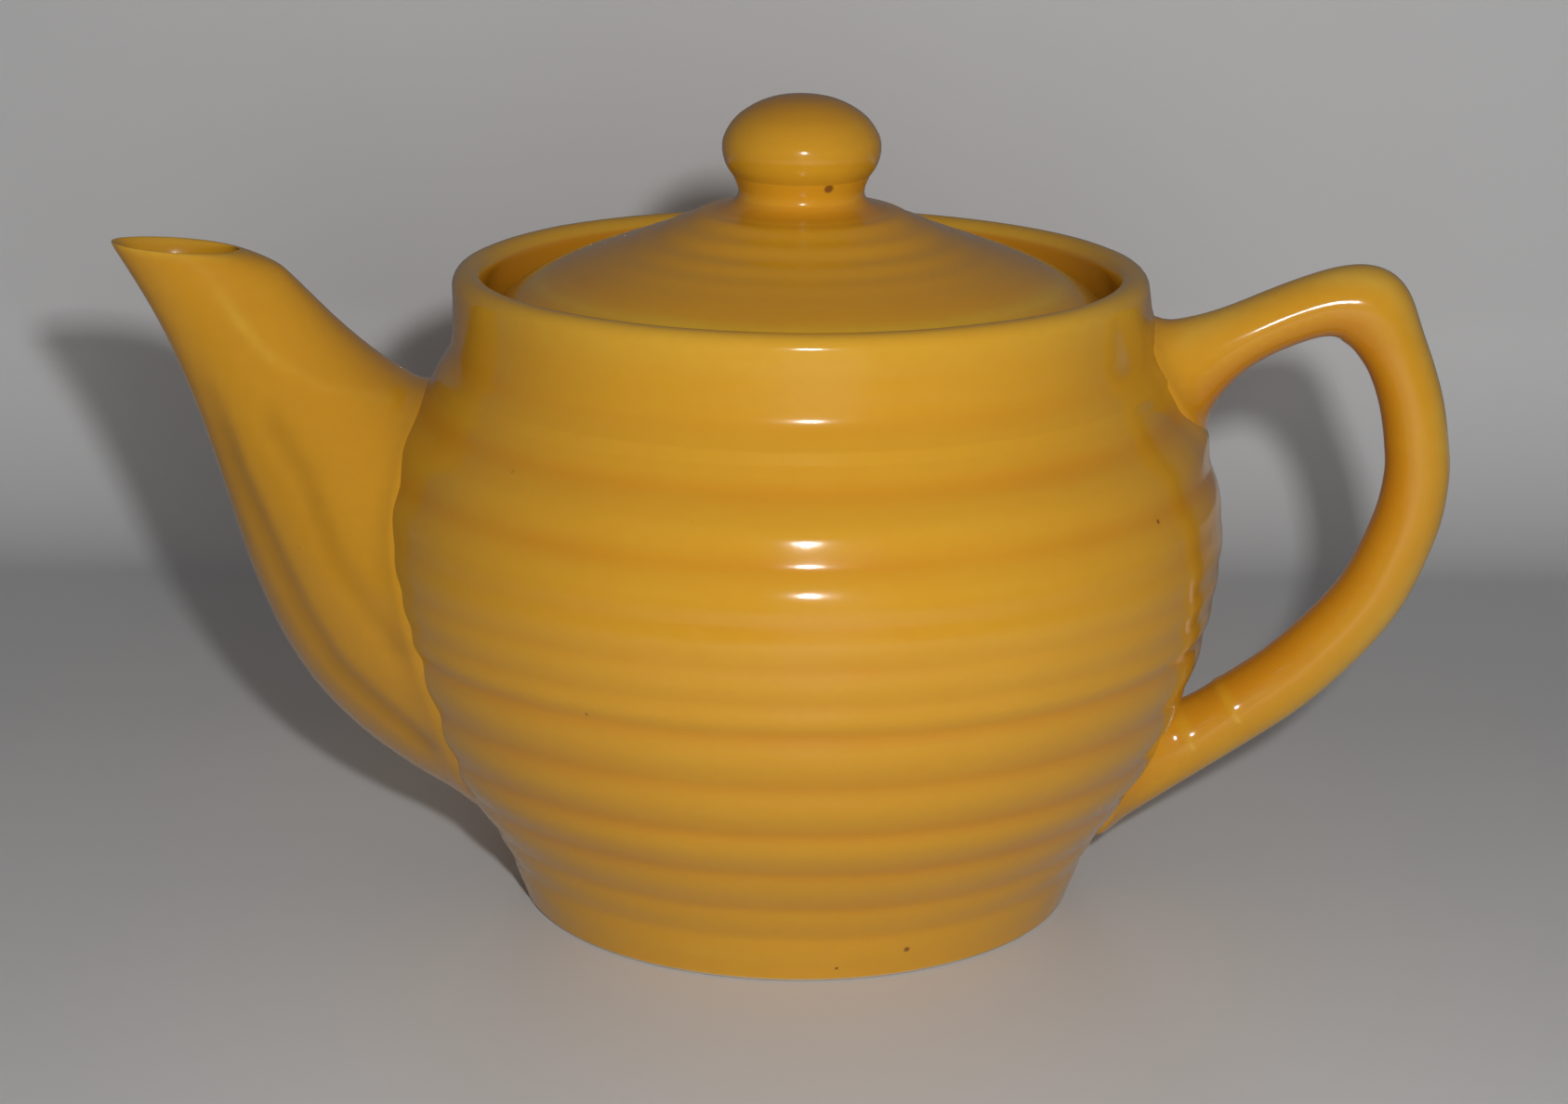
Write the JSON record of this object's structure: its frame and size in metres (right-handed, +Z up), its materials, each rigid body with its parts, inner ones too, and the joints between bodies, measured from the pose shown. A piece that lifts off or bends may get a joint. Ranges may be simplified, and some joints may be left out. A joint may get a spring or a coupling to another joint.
{
  "type": "teapot",
  "caption": "Round ceramic teapot with throwing rings, a beak spout, a loop handle and a drop-in domed lid with a ball knob, in ochre glaze.",
  "frame": {"origin": "centre of the flat foot, on the pot's upright axis, at table level", "axes": "+Z up along the pot's axis, +X towards the handle, so the spout points to -X and the front is -Y"},
  "size_m": [0.2133, 0.136, 0.1299],
  "materials": {
    "glaze_pot": "glossy",
    "glaze_spout": "glossy",
    "glaze_handle": "glossy",
    "glaze_lid": "glossy"
  },
  "bodies": {
    "pot": {"body": "glaze_pot", "spout": "glaze_spout", "handle": "glaze_handle"},
    "cover": {"lid": "glaze_lid", "knob": "glaze_lid"}
  },
  "joints": [
    {"name": "lid_lift", "type": "slide", "parent": "pot", "child": "cover", "axis": [0, 0, 1], "range_m": [0, 0.06]}
  ]
}
